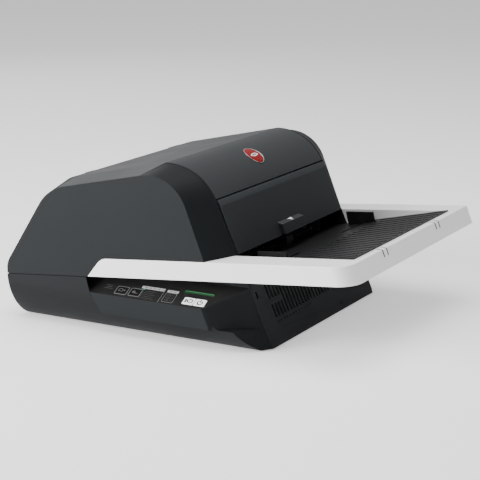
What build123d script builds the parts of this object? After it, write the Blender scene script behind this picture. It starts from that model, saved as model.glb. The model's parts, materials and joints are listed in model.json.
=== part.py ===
from build123d import *
import os
from math import atan, cos, degrees, pi, radians, sin, sqrt, tan

os.makedirs("parts", exist_ok=True)

# Automatic sheet-fed desktop laminator, millimetres.
# +X points to the outer end of the feed tray, +Z up, and the control panel is on the -Y side.
# The origin is under the middle of the machine, on the table.

# ---------------------------------------------------------------- driving dimensions
TRAY_HALF = 226.0  # half width over the feed tray's arms
BODY_HALF = 225.0  # half width over the side faces
HOOD_HALF = 174.0  # half width of the hood and feed flap, between the side pods
REAR_X = -294.0  # rearmost point of the housing
TRAY_END_X = 294.0  # outermost point of the feed tray
BASE_Z = 1.6  # underside of the base, above the feet
WALL = 2.6  # moulded wall
SEAM = 0.6  # gap between neighbouring covers

FRONT_X = 145.0  # front plane: x = FRONT_X - FRONT_LEAN * z
FRONT_LEAN = 0.4507
SIDE_FRONT_X = 110.5  # the same for the front edge of the side faces
SIDE_FRONT_LEAN = 0.4
CREST_X, CREST_Z = -35.0, 260.0  # crease where the flat top meets the hood's curve
SIDE_CREST_X, SIDE_CREST_Z = -50.0, 246.9
REAR_SEAM_X = -200.6  # where the hood ends and the rear panel starts

PATH_Z = 105.0  # height of the sheet's path through the machine
SHEET_HALF = 148.5  # half width of an A4 sheet fed short edge along X
TRAY_SLOPE = 0.0926  # rise of the tray slab per mm of X
TRAY_UNDER_Z = 98.33  # underside of the tray slab at x = 0, also the housing's parting plane
TRAY_THICK = 28.04  # slab thickness, measured vertically
RIM_HALF = 178.0  # inner edge of the tray's side rims
FLOOR_SLOPE = 0.2345  # rise of the tray floor per mm of X
FLOOR_X, FLOOR_Z = 100.0, 113.7  # a point on the tray floor's top face

FRAME_Y = 162.0  # inner face of the steel side frames
FRAME_THICK = 2.0
GEAR_Y = 165.5  # inner face of gears and pulleys
GEAR_WIDE = 6.0
RUN_FIT = 0.05  # radial clearance of a running fit
NIP = 0.4  # gap between paired rollers

HULL_R = 66.8  # radius of the hull's lower side curve
HULL_Z = 60.0  # where that curve starts

PIN_R = 1.5  # hinge pins
HOOD_PIN = (-203.0, 219.5)  # X and Z of each hinge line
DOOR_PIN = (-283.0, 116.2)
FLAP_PIN = (48.4, 205.0)

# ---------------------------------------------------------------- outlines in side view
MIDDLE_POINTS = [
    (FRONT_X - FRONT_LEAN * BASE_Z, BASE_Z),
    (27.8, CREST_Z),
    (CREST_X, CREST_Z),
    (-214.4, 219.7),
    (REAR_X, 97.0),
    (REAR_X, 66.0),
    (-284.0, BASE_Z),
]
MIDDLE_RADII = [0, 88, 0, 40, 30, 60, 0]
SIDE_POINTS = [
    (SIDE_FRONT_X - SIDE_FRONT_LEAN * BASE_Z, BASE_Z),
    (SIDE_FRONT_X - SIDE_FRONT_LEAN * 260.9, 260.9),
    (SIDE_CREST_X, SIDE_CREST_Z),
    (-214.2, 210.8),
    (REAR_X, 87.9),
    (REAR_X, 66.0),
    (-284.0, BASE_Z),
]
SIDE_RADII = [0, 65, 0, 70, 30, 60, 0]


def tray_under(x):
    """height of the tray slab's underside"""
    return TRAY_UNDER_Z + TRAY_SLOPE * x


def tray_top(x):
    """height of the tray rim's top"""
    return tray_under(x) + TRAY_THICK


def floor_top(x):
    """height of the tray floor's top face"""
    return FLOOR_Z + FLOOR_SLOPE * (x - FLOOR_X)


def front_x(z):
    """the front plane at a height"""
    return FRONT_X - FRONT_LEAN * z


def at_y(y):
    """side-view plane: sketch x is X and sketch y is Z"""
    return Plane.XZ.offset(-y)


def save(piece, name):
    """label a finished piece and write it"""
    piece.part.label = name
    export_step(piece.part, f"parts/{name}.step")


def block(x, y, z, mode=Mode.ADD):
    """box from its limits along each axis"""
    with Locations(((x[0] + x[1]) / 2, (y[0] + y[1]) / 2, (z[0] + z[1]) / 2)):
        Box(x[1] - x[0], y[1] - y[0], z[1] - z[0], mode=mode)


def side_prism(points, y0, y1, mode=Mode.ADD):
    """prism with a side-view outline, from y0 to y1"""
    with BuildSketch(at_y(y1)) as face:
        with BuildLine():
            Polyline(*points, close=True)
        make_face()
    extrude(face.sketch, amount=y1 - y0, mode=mode)


def plan_prism(points, z0, z1, mode=Mode.ADD):
    """prism with a plan outline, from z0 to z1"""
    with BuildSketch(Plane.XY.offset(z0)) as face:
        with BuildLine():
            Polyline(*points, close=True)
        make_face()
    extrude(face.sketch, amount=z1 - z0, mode=mode)


def rod(x, z, radius, y0, y1, mode=Mode.ADD):
    """cylinder across the machine"""
    with Locations(Location((x, (y0 + y1) / 2, z), (90, 0, 0))):
        Cylinder(radius, y1 - y0, mode=mode)


def outline(points, radii, y, inset):
    """rounded side-view outline at a given y, drawn in from the sheer line by inset"""
    with BuildSketch(at_y(y)) as face:
        with BuildLine():
            FilletPolyline(*points, radius=radii, close=True)
        make_face()
        if inset:
            offset(amount=-inset)
    return face.sketch


def envelope(inset):
    """the whole housing as one solid, its skin moved inward by inset"""
    foot = BASE_Z + inset
    centre = BODY_HALF - HULL_R
    foot_y = centre + sqrt((HULL_R - inset) ** 2 - (HULL_Z - foot) ** 2)
    side = BODY_HALF - inset
    with BuildPart() as body:
        extrude(outline(MIDDLE_POINTS, MIDDLE_RADII, HOOD_HALF, inset), amount=2 * HOOD_HALF)
        for end in (-1, 1):
            middle = outline(MIDDLE_POINTS, MIDDLE_RADII, end * HOOD_HALF, inset)
            outer = outline(SIDE_POINTS, SIDE_RADII, end * side, inset)
            loft([middle, outer], ruled=True)
        with BuildSketch(Plane.YZ.offset(REAR_X - 10)) as section:
            with BuildLine():
                Polyline((foot_y, foot), (-foot_y, foot))
                RadiusArc((-foot_y, foot), (-side, HULL_Z), HULL_R - inset)
                Polyline((-side, HULL_Z), (-side, 280), (side, 280), (side, HULL_Z))
                RadiusArc((side, HULL_Z), (foot_y, foot), HULL_R - inset)
            make_face()
        extrude(section.sketch, amount=500, mode=Mode.INTERSECT)
    return body.part


OUTER = envelope(0)
INNER = envelope(WALL)
with BuildPart() as skin:
    add(OUTER)
    add(INNER, mode=Mode.SUBTRACT)
SKIN = skin.part

# ---------------------------------------------------------------- regions shared by several covers
FAR = 400.0  # reaches past the machine
OVER_TRAY = [(-FAR, tray_under(-FAR)), (FAR, tray_under(FAR)), (FAR, FAR), (-FAR, FAR)]
CONSOLE_FRONT_Y = -BODY_HALF - 0.6  # vertical face of the control console
CONSOLE_X = -146.0  # left end of the console
CONSOLE_Z = (31.0, 61.0)  # its vertical face
FASCIA_TOP = (-177.0, 88.0)  # back edge of the sloping fascia, y and z
ARM = [(-144.0, tray_under(-144)), (-120.0, tray_top(-120)), (FAR, tray_top(FAR)), (FAR, tray_under(FAR))]


BEVEL_LEAN = 0.43  # how far the front bevels lean back per mm of height
# front bevels: side, y where each meets the front plane, slope across, and whether it cuts
# above and below the console's foot
BEVELS = [(-1, 177.0, 1.33, True, False), (-1, 177.0, 0.64, False, True), (1, 203.0, 1.09, True, True)]


def corner_wedge(inset):
    """what the bevels take off the front corners of the base, both sides"""
    wedges = Part()
    level = 61.0
    for side, edge_y, slope, above, below in BEVELS:
        shift = inset * sqrt(1 + slope**2 + BEVEL_LEAN**2)
        inner = (front_x(level) + 8 * slope - shift, side * (edge_y - 8))
        outer = (front_x(level) - slope * (236 - edge_y) - shift, side * 236)
        with BuildSketch(Plane.XY.offset(level)) as plan:
            with BuildLine():
                Polyline(outer, inner, (220, inner[1]), (220, outer[1]), close=True)
            make_face()
        lean = Vector(-BEVEL_LEAN, 0, 1)
        with BuildPart() as wedge:
            extrude(plan.sketch, amount=60 * lean.length, dir=lean.normalized())
            extrude(plan.sketch, amount=-70 * lean.length, dir=lean.normalized())
            ledge = CONSOLE_Z[0] - inset
            if not above:
                block((-FAR, FAR), (-FAR, FAR), (ledge, FAR), Mode.SUBTRACT)
            if not below:
                block((-FAR, FAR), (-FAR, FAR), (-FAR, ledge), Mode.SUBTRACT)
        wedges += wedge.part
    return wedges


def console_prism(points, x0, x1):
    """prism along X with an outline in Y and Z"""
    with BuildSketch(Plane.YZ.offset(x0)) as section:
        with BuildLine():
            Polyline(*points, close=True)
        make_face()
    with BuildPart() as prism:
        extrude(section.sketch, amount=x1 - x0)
    return prism.part


# ---------------------------------------------------------------- base housing
CONSOLE_INSIDE = [(-222.9, CONSOLE_Z[0]), (-222.9, 59.4), (-174.5, 86.2)]  # inner face of the panel
CONSOLE_SPACE = [
    (-240, CONSOLE_Z[0]),
    (CONSOLE_FRONT_Y, CONSOLE_Z[0]),
    *CONSOLE_INSIDE,
    (-174.5, 130),
    (-240, 130),
]
WEDGE = corner_wedge(0)
console_end = [(CONSOLE_X - 1, 130), (CONSOLE_X - 1, 80), (-140, 57), (-120.5, CONSOLE_Z[0])]
console_end += [(FAR, CONSOLE_Z[0]), (FAR, 130)]
with BuildPart() as console_room:
    add(console_prism(CONSOLE_SPACE, CONSOLE_X - 1, 140))
    side_prism(console_end, -250, -170, Mode.INTERSECT)

SCREW_PLACES = [(x, y, BASE_Z) for x in (-220.0, 5.0) for y in (-168.0, 168.0)]
SCREW_R = 1.6
GRILLE_HALF = 176.0
GRILLE_Z = 6.0
GRILLE_THICK = 3.0
with BuildPart() as base_hollow:
    add(INNER)
    add(corner_wedge(WALL), mode=Mode.SUBTRACT)

SHADOW_DEEP, SHADOW_HIGH = 1.6, 1.3  # rebate under the upper covers, which shows as a dark line
shadow_band = [(-FAR, tray_under(-FAR) - SHADOW_HIGH), (FAR, tray_under(FAR) - SHADOW_HIGH)]
shadow_band += [(FAR, tray_under(FAR) + 1), (-FAR, tray_under(-FAR) + 1)]
with BuildPart() as shadow_gap:
    add(OUTER)
    add(envelope(SHADOW_DEEP), mode=Mode.SUBTRACT)
    side_prism(shadow_band, -FAR, FAR, Mode.INTERSECT)

with BuildPart() as base_housing:
    add(OUTER)
    add(WEDGE, mode=Mode.SUBTRACT)
    add(shadow_gap.part, mode=Mode.SUBTRACT)
    add(base_hollow.part, mode=Mode.SUBTRACT)
    side_prism(OVER_TRAY, -FAR, FAR, Mode.SUBTRACT)
    add(console_room.part, mode=Mode.SUBTRACT)
    block((60, 200), (-GRILLE_HALF - 0.3, GRILLE_HALF + 0.3), (GRILLE_Z, 130), Mode.SUBTRACT)
    block((REAR_X - 5, -285), (136, 164), (45, 65), Mode.SUBTRACT)
    for x in (-235.0, 95.0):
        for y in (-150.0, 150.0):
            with Locations((x, y, BASE_Z)):
                Cylinder(2.2, 12, mode=Mode.SUBTRACT)
    with Locations(*SCREW_PLACES):
        Cylinder(SCREW_R + 0.2, 40, mode=Mode.SUBTRACT)
        Cylinder(3.6, 3.0, mode=Mode.SUBTRACT)
save(base_housing, "base_housing")

with BuildPart() as housing_screws:
    with Locations(*SCREW_PLACES):
        with Locations((0, 0, 0.8)):
            Cylinder(3.4, 1.4)
            Box(4.4, 0.9, 1.4, mode=Mode.SUBTRACT)
            Box(0.9, 4.4, 1.4, mode=Mode.SUBTRACT)
        with Locations((0, 0, 3.8)):
            Cylinder(SCREW_R, 4.6)
save(housing_screws, "housing_screws")

with BuildPart() as chassis_plate:
    block((-268, 120), (-172, 172), (BASE_Z + WALL, BASE_Z + WALL + 1.5))
    for x in (-235.0, 95.0):
        for y in (-150.0, 150.0):
            with Locations((x, y, BASE_Z + WALL)):
                Cylinder(4.2, 12, mode=Mode.SUBTRACT)
    with Locations(*SCREW_PLACES):
        Cylinder(SCREW_R + 0.2, 40, mode=Mode.SUBTRACT)
save(chassis_plate, "chassis_plate")
CHASSIS_Z = BASE_Z + WALL + 1.5

with BuildPart() as rubber_feet:
    for x in (-235.0, 95.0):
        for y in (-150.0, 150.0):
            with Locations((x, y, BASE_Z / 2)):
                Cylinder(12, BASE_Z)
            with Locations((x, y, BASE_Z + 3)):
                Cylinder(2.15, 6)
            with Locations((x, y, BASE_Z + 6.6)):
                Cylinder(4, 1.4)
            with Locations((x, y, 0.5)):
                Cylinder(4, 1, mode=Mode.SUBTRACT)
save(rubber_feet, "rubber_feet")

# ---------------------------------------------------------------- front grille
SLOT_PITCH = 9.6
SLOT_WIDE = 4.4
FIRST_SLOT_Y = -134.0
SLOT_COUNT = 20
TIERED_SLOTS = 4
with BuildPart() as front_grille:
    top_z = 106.6
    face = [
        (front_x(GRILLE_Z), GRILLE_Z),
        (front_x(top_z), top_z),
        (front_x(top_z) - GRILLE_THICK, top_z),
        (front_x(GRILLE_Z) - GRILLE_THICK, GRILLE_Z),
    ]
    side_prism(face, -GRILLE_HALF, GRILLE_HALF)
    for i in range(SLOT_COUNT):
        y = FIRST_SLOT_Y + i * SLOT_PITCH
        half = SLOT_WIDE / 2
        tiers = [(62, 84), (36, 55)] if i < TIERED_SLOTS else [(36, 84)]
        for low, high in tiers:
            block((60, 160), (y - half, y + half), (low, high), Mode.SUBTRACT)
        if i < 12:
            block((60, 160), (y - 1.2, y + 1.2), (29, 32), Mode.SUBTRACT)
    block((60, 160), (-167.2, -162.2), (70, 80), Mode.SUBTRACT)
    groove_plane = Plane(origin=(front_x(16), -34, 16), x_dir=(0, 1, 0), z_dir=(1, 0, FRONT_LEAN))
    with BuildSketch(groove_plane) as groove:
        with Locations(Location((0, 0, 0), (0, 0, -3))):
            SlotOverall(196, 5)
    extrude(groove.sketch, amount=-0.9, mode=Mode.SUBTRACT)
save(front_grille, "front_grille")

# ---------------------------------------------------------------- side housings
HOOD_EDGE_Y = 221.6  # how far the hood reaches over the side bevels
HOOD_REAR_X = -198.6
HOOD_LIP_Z = 213.4  # lower front edge of the hood


def hood_plan(grow):
    """the hood's outline from above, grown by the seam"""
    half = HOOD_HALF - SEAM + grow
    edge = HOOD_EDGE_Y + grow
    rear = REAR_SEAM_X if grow else HOOD_REAR_X
    near = [
        (rear, -edge),
        (SIDE_CREST_X + grow, -edge),
        (CREST_X + grow, -half),
        (80, -half),
    ]
    return near + [(x, -y) for x, y in reversed(near)]


def side_housing(side):
    """shell of one side with its pod, bevel and inner wall"""
    low, high = sorted((side * HOOD_HALF, side * TRAY_HALF))
    wall_low, wall_high = sorted((side * HOOD_HALF, side * (HOOD_HALF + WALL)))
    with BuildPart() as rear_wall:
        extrude(outline(MIDDLE_POINTS, MIDDLE_RADII, wall_high, WALL + 1.5), amount=WALL)
        block((CREST_X, FAR), (wall_low, wall_high), (0, FAR), Mode.SUBTRACT)
    with BuildPart() as wall:
        extrude(outline(MIDDLE_POINTS, MIDDLE_RADII, wall_high, 0), amount=WALL)
        block((-FAR, CREST_X), (wall_low, wall_high), (0, FAR), Mode.SUBTRACT)
        add(rear_wall.part)
        block((-FAR, 35), (wall_low, wall_high), (0, 125), Mode.SUBTRACT)
    with BuildPart() as shell:
        add(SKIN)
        block((-FAR, FAR), (low, high), (0, FAR), Mode.INTERSECT)
        plan_prism(hood_plan(SEAM), 204, 300, Mode.SUBTRACT)
        add(wall.part)
        side_prism(OVER_TRAY, -FAR, FAR, Mode.INTERSECT)
        arm_low, arm_high = sorted((side * RIM_HALF, side * 230))
        side_prism(ARM, arm_low, arm_high, Mode.SUBTRACT)
        rod(*FLAP_PIN, PIN_R, wall_low - 1, wall_high + 1, Mode.SUBTRACT)
    return shell


near_side_housing = side_housing(-1)
save(near_side_housing, "near_side_housing")
far_side_housing = side_housing(1)
save(far_side_housing, "far_side_housing")

# ---------------------------------------------------------------- rear panel, door and latch
PANEL_HALF = HOOD_HALF - SEAM
DOOR_HALF = 159.4
DOOR_Z = (118.6, 202.4)
EXIT_SLOT_Z = (97.0, 110.5)
LATCH_X = (-213.0, -202.4)
LATCH_HALF = 57.0
with BuildPart() as rear_panel:
    add(SKIN)
    block((-FAR, REAR_SEAM_X), (-PANEL_HALF, PANEL_HALF), (0, FAR), Mode.INTERSECT)
    side_prism(OVER_TRAY, -FAR, FAR, Mode.INTERSECT)
    door_gap = DOOR_HALF + SEAM
    block((-FAR, -215), (-door_gap, door_gap), (DOOR_Z[0] - SEAM, DOOR_Z[1] + SEAM), Mode.SUBTRACT)
    block((-FAR, -240), (-158, 158), EXIT_SLOT_Z, Mode.SUBTRACT)
    latch_gap = LATCH_HALF + 0.4
    block((LATCH_X[0] - 0.4, LATCH_X[1] + 0.4), (-latch_gap, latch_gap), (200, 230), Mode.SUBTRACT)
    for side in (-1, 1):
        notch = sorted((side * 117.5, side * 139.5))
        block((-207.5, -200), notch, (205, 226), Mode.SUBTRACT)
        ear = sorted((side * 117.5, side * 127.5))
        block((-211, HOOD_PIN[0]), ear, (HOOD_PIN[1] - 2.6, HOOD_PIN[1] + 0.4))
        rod(*HOOD_PIN, 2.9, *ear)
        rod(*HOOD_PIN, PIN_R, *ear, Mode.SUBTRACT)
        notch = sorted((side * 112, side * 129))
        block((-FAR, -270), notch, (112.6, DOOR_Z[0]), Mode.SUBTRACT)
        ear = sorted((side * 100, side * 112))
        rod(*DOOR_PIN, 3.2, *ear)
        block((DOOR_PIN[0], -277), ear, (DOOR_PIN[1] - 3.2, DOOR_PIN[1]))
        rod(*DOOR_PIN, PIN_R, *ear, Mode.SUBTRACT)
save(rear_panel, "rear_panel")

with BuildPart() as door_rib_places:
    for y in (-120, -60, 0, 60, 120):
        block((-FAR, -215), (y - 1, y + 1), (DOOR_Z[0] + 6, DOOR_Z[1] - 2))
with BuildPart() as door_ribs:
    add(INNER)
    with Locations((9, 0, 0)):
        add(INNER, mode=Mode.SUBTRACT)
    add(door_rib_places.part, mode=Mode.INTERSECT)

with BuildPart() as rear_door:
    add(SKIN)
    block((-FAR, -215), (-DOOR_HALF, DOOR_HALF), DOOR_Z, Mode.INTERSECT)
    add(door_ribs.part)
    for side in (-1, 1):
        knuckle = sorted((side * 112.3, side * 128))
        rod(*DOOR_PIN, 3.2, *knuckle)
        side_prism([(-284, 118.2), (-280.5, 116.8), (-276, 119.2), (-276, 124), (-278, 124)], *knuckle)
        rod(*DOOR_PIN, PIN_R + RUN_FIT, *knuckle, Mode.SUBTRACT)
save(rear_door, "rear_door")

with BuildPart() as door_latch:
    add(OUTER)
    block(LATCH_X, (-LATCH_HALF, LATCH_HALF), (208, 230), Mode.INTERSECT)
    for y in (-40, 40):
        block((-211, -206), (y - 3, y + 3), (200, 210))
save(door_latch, "door_latch")

# ---------------------------------------------------------------- hood
def hood_skirt(side):
    """thin wall that closes one end of the hood's curved front"""
    y0, y1 = sorted((side * (PANEL_HALF - 2), side * PANEL_HALF))
    with BuildPart() as skirt:
        extrude(outline(MIDDLE_POINTS, MIDDLE_RADII, y1, 0.5), amount=y1 - y0)
        extrude(outline(MIDDLE_POINTS, MIDDLE_RADII, y1 + 1, 14), amount=6, mode=Mode.SUBTRACT)
        block((CREST_X - 4, FAR), (y0, y1), (HOOD_LIP_Z, FAR), Mode.INTERSECT)
    return skirt.part


near_skirt = hood_skirt(-1)
far_skirt = hood_skirt(1)
with BuildPart() as hood:
    add(SKIN)
    plan_prism(hood_plan(0), 205, 300, Mode.INTERSECT)
    block((0, FAR), (-FAR, FAR), (0, HOOD_LIP_Z), Mode.SUBTRACT)
    add(near_skirt)
    add(far_skirt)
    for side in (-1, 1):
        knuckle = sorted((side * 128, side * 138.5))
        rod(*HOOD_PIN, 2.9, *knuckle)
        side_prism([(-203, 216.6), (-203, 222.4), (-196.5, 222.4), (-190, 223.4), (-190, 221)], *knuckle)
        rod(*HOOD_PIN, PIN_R + RUN_FIT, *knuckle, Mode.SUBTRACT)
save(hood, "hood")

with BuildPart() as rib_grid:
    for y in (-162, -108, -54, 0, 54, 108, 162):
        block((-190, 60), (y - 1.2, y + 1.2), (200, 270))
    for x in (-175, -120, -65, -10, 22):
        block((x - 1.2, x + 1.2), (-163.2, 163.2), (200, 270))

with BuildPart() as hood_frame:
    add(INNER)
    block((-190, 60), (-168, 168), (HOOD_LIP_Z + 2, FAR), Mode.INTERSECT)
    with Locations((-4, 0, -9)):
        add(INNER, mode=Mode.SUBTRACT)
    add(rib_grid.part, mode=Mode.INTERSECT)
save(hood_frame, "hood_frame")

# ---------------------------------------------------------------- feed flap
FLAP_HALF = 172.6
TAB_HALF = 36.0
with BuildPart() as flap_tab:
    tab_shape = [(74, 154.6), (77.5, 154.6), (86.4, 152.8), (92.4, 137), (84, 135.2), (82, 137)]
    side_prism(tab_shape, -TAB_HALF, TAB_HALF)
    fillet(flap_tab.edges().filter_by(Axis.Y).group_by(Axis.X)[-2:], 1.2)
    fillet(flap_tab.faces().group_by(Axis.Y)[0].edges().group_by(Axis.X)[-1], 2)
    fillet(flap_tab.faces().group_by(Axis.Y)[-1].edges().group_by(Axis.X)[-1], 2)

with BuildPart() as feed_flap:
    shell = [(50.2, 211.8), (57, 204), (85.2, 135), (82.6, 134), (54.6, 202.6), (48.2, 210.2)]
    side_prism(shell, -FLAP_HALF, FLAP_HALF)
    for y0 in (-FLAP_HALF, -110, -55, -1, 53, 108, FLAP_HALF - 2):
        side_prism([(50, 205), (54, 200), (83, 134.6), (79, 134.6), (49, 200)], y0, y0 + 2)
    side_prism([(85.2, 135), (82.6, 134), (76, 137), (77, 139.4), (83.4, 138.4)], -FLAP_HALF, FLAP_HALF)
    for side in (-1, 1):
        knuckle = sorted((side * 163, side * FLAP_HALF))
        rod(*FLAP_PIN, 3.4, *knuckle)
        rod(*FLAP_PIN, PIN_R + RUN_FIT, *knuckle, Mode.SUBTRACT)
    add(flap_tab.part)
save(feed_flap, "feed_flap")

with BuildPart() as hinge_pins:
    for side in (-1, 1):
        rod(*HOOD_PIN, PIN_R, *sorted((side * 117.5, side * 139.3)))
        rod(*DOOR_PIN, PIN_R, *sorted((side * 100, side * 128.6)))
        rod(*FLAP_PIN, PIN_R, *sorted((side * 163.5, side * (HOOD_HALF + WALL))))
save(hinge_pins, "hinge_pins")

# ---------------------------------------------------------------- feed tray
RIM_END_X = 271.0  # inner edge of the outer rim
NEAR_CORNER_R, FAR_CORNER_R = 28.0, 5.0  # plan radius of the tray's outer corners
ARM_HALF = 209.0  # inner face of the arms beside the housing
CLIP_Y = (-102.0, 93.5)  # middles of the pairs of clip slits in the outer rim
SLIT_APART, SLIT_WIDE = 13.4, 2.8
tray_end_top = 283.5
tray_side = [
    (-144.0, tray_under(-144)),
    (-120.0, tray_top(-120)),
    (tray_end_top, tray_top(tray_end_top)),
    (TRAY_END_X, tray_under(TRAY_END_X)),
]
with BuildPart() as feed_tray:
    side_prism(tray_side, -TRAY_HALF, TRAY_HALF)
    fillet(feed_tray.edges().filter_by(Axis.Y).sort_by(Axis.X)[:2].sort_by(Axis.Z)[-1], 24)
    outer_corners = feed_tray.faces().sort_by(Axis.X)[-1].edges().group_by(Axis.Y)
    fillet(outer_corners[0], NEAR_CORNER_R)
    outer_corners = feed_tray.faces().sort_by(Axis.X)[-1].edges().group_by(Axis.Y)
    fillet(outer_corners[-1], FAR_CORNER_R)
    fillet(feed_tray.edges().group_by(Axis.Z)[-1], 1.5)
    block((-FAR, 60), (-ARM_HALF, ARM_HALF), (0, FAR), Mode.SUBTRACT)
    block((59, RIM_END_X), (-RIM_HALF, RIM_HALF), (0, FAR), Mode.SUBTRACT)
    arm_floor = [(-143, tray_under(-143)), (60, tray_under(60))]
    arm_floor += [(60, tray_under(60) + 2), (-143, tray_under(-143) + 2)]
    side_prism(arm_floor, -ARM_HALF, -RIM_HALF)
    for y in CLIP_Y:
        for slit in (y - SLIT_APART / 2, y + SLIT_APART / 2):
            slit_y = (slit - SLIT_WIDE / 2, slit + SLIT_WIDE / 2)
            block((RIM_END_X + 4, TRAY_END_X), slit_y, (142, 160), Mode.SUBTRACT)
save(feed_tray, "feed_tray")

with BuildPart() as tray_bottom_cover:
    cover = [(100.5, tray_under(100.5)), (RIM_END_X, tray_under(RIM_END_X))]
    cover += [(RIM_END_X, tray_under(RIM_END_X) + 2.5), (100.5, tray_under(100.5) + 2.5)]
    side_prism(cover, -RIM_HALF, RIM_HALF)
save(tray_bottom_cover, "tray_bottom_cover")

FLOOR_THICK = 2.5
FLOOR_START_X = 62.0
GUIDE_X = 133.0
SLOT_HALF = 2.6
floor_angle = degrees(atan(FLOOR_SLOPE))
FLOOR = Plane(
    origin=(GUIDE_X, 0, floor_top(GUIDE_X)),
    x_dir=(cos(radians(floor_angle)), 0, sin(radians(floor_angle))),
    z_dir=(-sin(radians(floor_angle)), 0, cos(radians(floor_angle))),
)
RACK_TRAVEL = 70.69
PINION_TEETH = 16
PINION_MODULE = 1.5
GUIDE_Y = SHEET_HALF + 0.7
RIDGE_X = (160.0, 268.0)  # ends of the floor's ridges
with BuildPart() as tray_floor:
    top = [(FLOOR_START_X, floor_top(FLOOR_START_X)), (RIM_END_X, floor_top(RIM_END_X))]
    bottom = [(x, z - FLOOR_THICK) for x, z in reversed(top)]
    side_prism(top + bottom, -173.6, 173.6)
    ridge = [(RIDGE_X[0], floor_top(RIDGE_X[0]) - 1), (RIDGE_X[1], floor_top(RIDGE_X[1]) - 1)]
    ridge += [(x, z + 1.8) for x, z in reversed(ridge)]
    for y in range(-160, 161, 20):
        side_prism(ridge, y - 1.5, y + 1.5)
    for y in (-165, -55, 55, 165):
        leg = [(160, tray_under(160) + 2.5), (RIM_END_X, tray_under(RIM_END_X) + 2.5)]
        leg += [(RIM_END_X, floor_top(RIM_END_X) - 2), (160, floor_top(160) - 2)]
        side_prism(leg, y - 1, y + 1)
    for side in (-1, 1):
        slot = sorted((side * (GUIDE_Y - RACK_TRAVEL - 5), side * (GUIDE_Y + 7)))
        block((GUIDE_X - SLOT_HALF - 1, GUIDE_X + SLOT_HALF + 1), slot, (100, 135), Mode.SUBTRACT)
    with BuildSketch(FLOOR.offset(-FLOOR_THICK - 5)) as post:
        Circle(3)
    extrude(post.sketch, amount=5.5)
save(tray_floor, "tray_floor")


def teeth(count, module, tooth_angle, addendum=0.8, dedendum=1.1, play=0.25):
    """one tooth outline repeated round a gear, drawn in the current sketch"""
    pitch_r = count * module / 2
    half = (pi * module / 2 - play) / 2
    slant = tan(radians(20))
    tip, root = pitch_r + addendum * module, pitch_r - dedendum * module
    tip_half = half - addendum * module * slant
    root_half = half + dedendum * module * slant
    with PolarLocations(0, count, start_angle=tooth_angle):
        Polygon(
            (root - 0.6, -root_half),
            (tip, -tip_half),
            (tip, tip_half),
            (root - 0.6, root_half),
            align=None,
        )


def gear_blank(plane, count, module, tooth_angle):
    """gear outline on a plane, centred on its origin"""
    with BuildSketch(plane) as outline_sketch:
        Circle(count * module / 2 - 1.1 * module)
        teeth(count, module, tooth_angle)
    return outline_sketch.sketch


RACK_DEPTH = FLOOR_THICK + 0.5
RACK_THICK = 2.2
PITCH = pi * PINION_MODULE
PINION_R = PINION_TEETH * PINION_MODULE / 2
GUIDE_SPACE = [(60, 90), (220, 90), (220, tray_top(220) + 1.5), (60, tray_top(60) + 1.5)]
with BuildPart() as guide_pinion:
    rack_level = FLOOR.offset(-RACK_DEPTH - RACK_THICK)
    extrude(gear_blank(rack_level, PINION_TEETH, PINION_MODULE, 0), amount=RACK_THICK)
    with BuildSketch(rack_level) as hole:
        Circle(3 + RUN_FIT)
    extrude(hole.sketch, amount=RACK_THICK, mode=Mode.SUBTRACT)
save(guide_pinion, "guide_pinion")


def paper_guide(side):
    """side guide, its stem through the floor slot, and its rack beside the pinion"""
    rack_level = FLOOR.offset(-RACK_DEPTH - RACK_THICK)
    with BuildPart() as guide:
        with BuildSketch(FLOOR.offset(0.4)) as plate:
            with Locations((0, side * (GUIDE_Y + 1.5))):
                Rectangle(47, 3)
        extrude(plate.sketch, amount=22)
        side_prism(GUIDE_SPACE, -FAR, FAR, Mode.INTERSECT)
        with BuildSketch(FLOOR.offset(0.4)) as foot:
            with Locations((0, side * (GUIDE_Y + 3.4))):
                Rectangle(47, 6.8)
        extrude(foot.sketch, amount=1.6)
        with BuildSketch(rack_level) as stem:
            with Locations((0, side * (GUIDE_Y + 3))):
                Rectangle(2 * SLOT_HALF - 0.8, 6)
        extrude(stem.sketch, amount=RACK_DEPTH + RACK_THICK + 1)
        with BuildSketch(rack_level) as rack:
            tip = PINION_R - 0.8 * PINION_MODULE
            back = PINION_R + 1.1 * PINION_MODULE
            across = back + 4
            with Locations((side * across / 2, side * (GUIDE_Y + 3))):
                Rectangle(across, 6)
            length = GUIDE_Y + 6 + 14
            with Locations((side * (back + 2), side * (GUIDE_Y + 6 - length / 2))):
                Rectangle(4, length)
            slant = tan(radians(20))
            half = (PITCH / 2 - 0.25) / 2
            tip_half = half - 0.8 * PINION_MODULE * slant
            root_half = half + 1.1 * PINION_MODULE * slant
            for i in range(-2, 18):
                y = side * (i + 0.5) * PITCH
                with Locations((0, y)):
                    Polygon(
                        (side * tip, -tip_half),
                        (side * (back + 0.4), -root_half),
                        (side * (back + 0.4), root_half),
                        (side * tip, tip_half),
                        align=None,
                    )
        extrude(rack.sketch, amount=RACK_THICK)
    return guide


near_paper_guide = paper_guide(-1)
save(near_paper_guide, "near_paper_guide")
far_paper_guide = paper_guide(1)
save(far_paper_guide, "far_paper_guide")

# ---------------------------------------------------------------- control panel
FASCIA_RISE = atan((FASCIA_TOP[1] - CONSOLE_Z[1]) / (FASCIA_TOP[0] - CONSOLE_FRONT_Y))
FASCIA = Plane(
    origin=(0, CONSOLE_FRONT_Y, CONSOLE_Z[1]),
    x_dir=(1, 0, 0),
    z_dir=(0, -sin(FASCIA_RISE), cos(FASCIA_RISE)),
)
KEY_GAP = 0.3
KEY_PROUD = 0.6
KEY_DEEP = 3.2
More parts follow.
